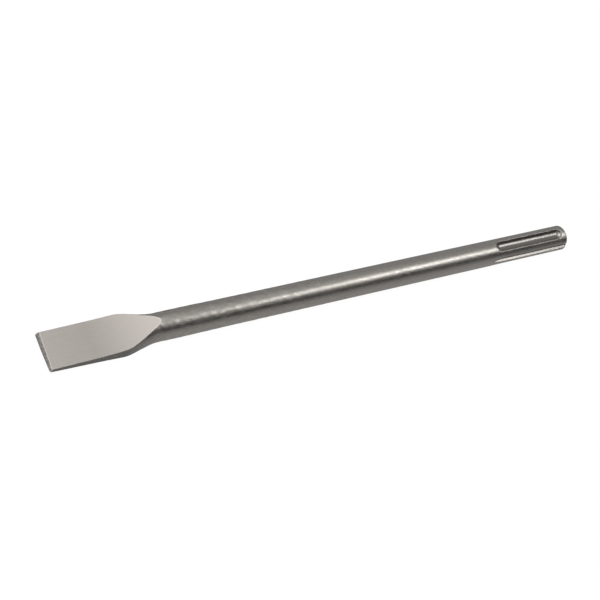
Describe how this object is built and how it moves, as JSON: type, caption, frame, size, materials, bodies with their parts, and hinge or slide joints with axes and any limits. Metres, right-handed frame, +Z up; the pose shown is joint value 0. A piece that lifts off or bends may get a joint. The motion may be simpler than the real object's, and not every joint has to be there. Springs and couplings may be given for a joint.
{
  "type": "flat chisel",
  "caption": "Forged steel flat chisel with a wide ground blade and a grooved 18 mm hammer shank, for breaking and chipping masonry.",
  "frame": {"origin": "centre of the struck end of the shank, on the bar's axis, 9 mm above the floor that the chisel lies on", "axes": "+X out of the struck end along the bar, so the cutting edge is toward -X; +Z up as the chisel lies at rest, on the bar and on one lower corner of the blade"},
  "size_m": [0.4, 0.0266, 0.018],
  "materials": {
    "steel": "bare grey steel: blade faces fine ground, bar blasted, grooves of the shank milled"
  },
  "bodies": {
    "root": {"chisel": "steel"}
  },
  "joints": []
}
